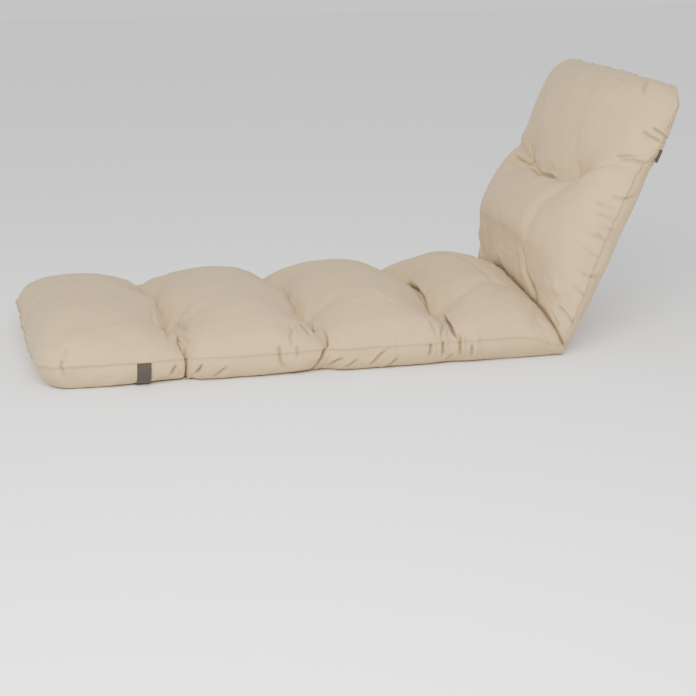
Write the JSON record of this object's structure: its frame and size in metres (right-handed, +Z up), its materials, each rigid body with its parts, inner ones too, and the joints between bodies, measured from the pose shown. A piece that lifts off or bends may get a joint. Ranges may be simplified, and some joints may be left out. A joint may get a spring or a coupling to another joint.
{
  "type": "sun lounger cushion",
  "caption": "Long stuffed lounger cushion, tufted across into soft sections and bent into a flat seat run and a raised back, with an elastic strap near each end.",
  "frame": {"origin": "centre of the overall size in plan, on the plane of the flat seat underside", "axes": "+X along the cushion from the foot end to the raised back, +Z up from the seat underside, +Y across; the side shown in the picture is -Y"},
  "size_m": [1.3638, 0.6141, 0.583],
  "materials": {
    "cloth": "warm beige plain-woven cloth, matte",
    "elastic": "grey-brown woven elastic webbing, matte"
  },
  "bodies": {
    "root": {"cushion": "cloth", "strap_foot": "elastic", "strap_back": "elastic"}
  },
  "joints": []
}
